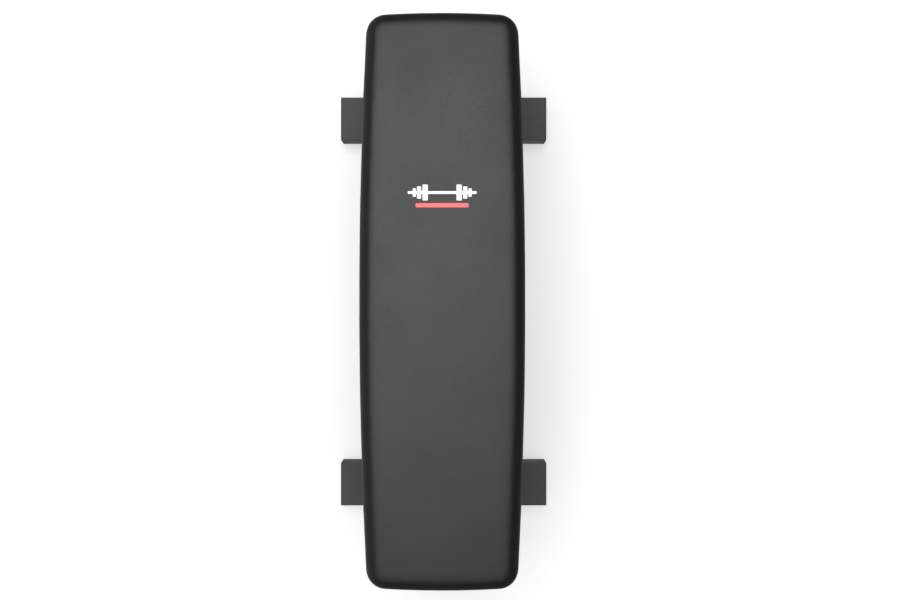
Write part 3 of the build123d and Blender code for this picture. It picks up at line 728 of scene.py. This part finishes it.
def post_welds(end, material):
    """Beads round the post's base, and along both webs."""
    post_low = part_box(f"post_{end}")[0]
    runs = [(box_loop(f"post_{end}", post_low.z), True)]
    for side in ("left", "right"):
        low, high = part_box(f"foot_web_{end}_{side}")
        inner, outer = (low.x, high.x) if side == "right" else (high.x, low.x)
        for y in (low.y, high.y):
            runs.append(([(outer, y, low.z), (inner, y, low.z)], False))
            runs.append(([(inner, y, low.z), (inner, y, high.z)], False))
    weld(f"weld_post_{end}", runs, material)


def bracket_welds(place, material):
    """Short beads where the bracket's flanges meet the sides of the spine."""
    low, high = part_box(f"pad_bracket_{place}")
    spine_low, spine_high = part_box("spine_tube")
    runs = []
    for x in (spine_low.x, spine_high.x):
        for y in (low.y, high.y):
            runs.append(([(x, y, low.z), (x, y, spine_high.z)], False))
    weld(f"weld_bracket_{place}", runs, material)


def handle_welds(material):
    """Beads round the handle's legs, and down both sides of the end of the spine."""
    plate_low, plate_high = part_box("handle_end_plate")
    spine_low, spine_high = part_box("spine_tube")
    bar_low, bar_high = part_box("handle_bar")
    radius = (bar_high.z - bar_low.z) / 2
    middle = (bar_high.z + bar_low.z) / 2
    runs = []
    for side in (-1, 1):
        leg_x = side * (bar_high.x - radius)
        circle = []
        for step in range(HANDLE_BEAD_POINTS):
            angle = 2 * math.pi * step / HANDLE_BEAD_POINTS
            x = leg_x + radius * math.cos(angle)
            z = middle + radius * math.sin(angle)
            circle.append((x, plate_low.y, z))
        runs.append((circle, True))
    for x in (spine_low.x, spine_high.x):
        bottom = (x, plate_high.y, spine_low.z + SPINE_CORNER)
        top = (x, plate_high.y, spine_high.z - SPINE_CORNER)
        runs.append(([bottom, top], False))
    weld("weld_handle", runs, material)


def fork_welds(side, material):
    """Beads above and below the fork's base plate, on the rear face of the foot."""
    low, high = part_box(f"wheel_fork_{side}")
    runs = []
    for z in (low.z, high.z):
        runs.append(([(low.x, low.y, z), (high.x, low.y, z)], False))
    weld(f"weld_fork_{side}", runs, material)


# Handle grip
def grip_profile(inner, outer, length):
    """The grip's half section: its radius at each distance along it, with chamfered ends and ribs."""
    groove = outer - GRIP_GROOVE_DEPTH
    rib_top = outer - GRIP_RIB_DROP
    profile = [(inner, 0.0), (outer - GRIP_CHAMFER, 0.0), (outer, GRIP_CHAMFER), (outer, GRIP_COLLAR)]
    for rib in range(int((length - 2 * GRIP_FIRST_RIB) / GRIP_RIB_PITCH)):
        along = GRIP_FIRST_RIB + rib * GRIP_RIB_PITCH
        profile += [(groove, along), (groove, along + GRIP_GROOVE_WIDTH)]
        profile += [(rib_top, along + GRIP_RIB_START), (rib_top, along + GRIP_RIB_END)]
    profile += [(outer, length - GRIP_COLLAR), (outer, length - GRIP_CHAMFER)]
    return profile + [(outer - GRIP_CHAMFER, length), (inner, length)]


def ribbed_grip(material):
    """A moulded rubber sleeve with a plain collar at each end and close ribs between."""
    low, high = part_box("handle_grip")
    bar_low, bar_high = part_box("handle_bar")
    outer = (high.z - low.z) / 2
    inner = (bar_high.z - bar_low.z) / 2 + GRIP_CLEARANCE
    middle = (low + high) / 2
    bm = bmesh.new()
    rings = []
    for radius, along in grip_profile(inner, outer, high.x - low.x):
        centre = Vector((low.x + along, middle.y, middle.z))
        rings.append(ring(bm, centre, Vector((0, 1, 0)), Vector((0, 0, 1)), radius, GRIP_SIDES))
    for first, second in zip(rings, rings[1:] + rings[:1]):
        for turn in range(GRIP_SIDES):
            after = (turn + 1) % GRIP_SIDES
            bm.faces.new((first[turn], first[after], second[after], second[turn]))
    grip = mesh_object("ribbed_grip", bm, material)
    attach(grip, "frame")
    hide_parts("handle_grip")


# Studio
def make_floor():
    """A large floor that glossy surfaces don't mirror, so that edges stay dark against it."""
    bm = bmesh.new()
    bmesh.ops.create_grid(bm, size=FLOOR_SIZE / 2)
    floor = mesh_object("floor", bm, glowing_floor_paint())
    floor.visible_glossy = False


def area_light(name, place, size, power):
    """A rectangular light that shines straight down."""
    data = bpy.data.lights.new(name, "AREA")
    data.shape = "RECTANGLE"
    data.size, data.size_y = size
    data.energy = power
    lamp = bpy.data.objects.new(name, data)
    lamp.location = place
    bpy.context.scene.collection.objects.link(lamp)


def make_lamps():
    """A wide softbox over the wheeled end and a weaker fill beyond the other end."""
    area_light("softbox", SOFTBOX_PLACE, SOFTBOX_SIZE, SOFTBOX_POWER)
    area_light("fill", FILL_PLACE, FILL_SIZE, FILL_POWER)


def make_room():
    """A room that lights the bench unevenly by height and side, and that the camera sees as white."""
    world = bpy.data.worlds.new("room")
    bpy.context.scene.world = world
    world.use_nodes = True
    nodes, links = world.node_tree.nodes, world.node_tree.links
    background = nodes["Background"]
    background.inputs["Color"].default_value = (1.0, 1.0, 1.0, 1.0)
    direction = nodes.new("ShaderNodeSeparateXYZ")
    links.new(nodes.new("ShaderNodeTexCoord").outputs["Generated"], direction.inputs[0])
    height = nodes.new("ShaderNodeFloatCurve")
    curve = height.mapping.curves[0]
    curve.points[0].location = (0.0, ROOM_BELOW)
    curve.points[1].location = (1.0, ROOM_OVERHEAD)
    curve.points.new(0.5, ROOM_AT_HORIZON)
    height.mapping.update()
    upward = nodes.new("ShaderNodeMapRange")
    upward.inputs["From Min"].default_value = -1.0
    links.new(direction.outputs["Z"], upward.inputs["Value"])
    links.new(upward.outputs["Result"], height.inputs["Value"])
    leftward = nodes.new("ShaderNodeMapRange")
    leftward.inputs["From Max"].default_value = -1.0
    leftward.inputs["To Max"].default_value = ROOM_ON_LEFT
    links.new(direction.outputs["X"], leftward.inputs["Value"])
    both = nodes.new("ShaderNodeMath")
    links.new(height.outputs[0], both.inputs[0])
    links.new(leftward.outputs["Result"], both.inputs[1])
    seen = nodes.new("ShaderNodeMix")
    links.new(nodes.new("ShaderNodeLightPath").outputs["Is Camera Ray"], seen.inputs["Factor"])
    links.new(both.outputs[0], seen.inputs["A"])
    seen.inputs["B"].default_value = 1.0
    links.new(seen.outputs["Result"], background.inputs["Strength"])


def make_camera():
    """The camera, looking straight down."""
    data = bpy.data.cameras.new("camera")
    data.lens = CAMERA_LENS_MM
    camera = bpy.data.objects.new("camera", data)
    camera.location = CAMERA_PLACE
    bpy.context.scene.collection.objects.link(camera)
    bpy.context.scene.camera = camera


materials = slot_materials()
dress_cad_nodes(materials)
pad = upholstery(materials["vinyl"])
barbell_print(pad)
for end in ("front", "rear"):
    post_welds(end, materials["frame_paint"])
for place in ("front", "middle", "rear"):
    bracket_welds(place, materials["frame_paint"])
for side in ("left", "right"):
    fork_welds(side, materials["frame_paint"])
handle_welds(materials["frame_paint"])
ribbed_grip(materials["grip_rubber"])
make_floor()
make_lamps()
make_room()
make_camera()
bpy.context.scene.view_settings.view_transform = "Standard"
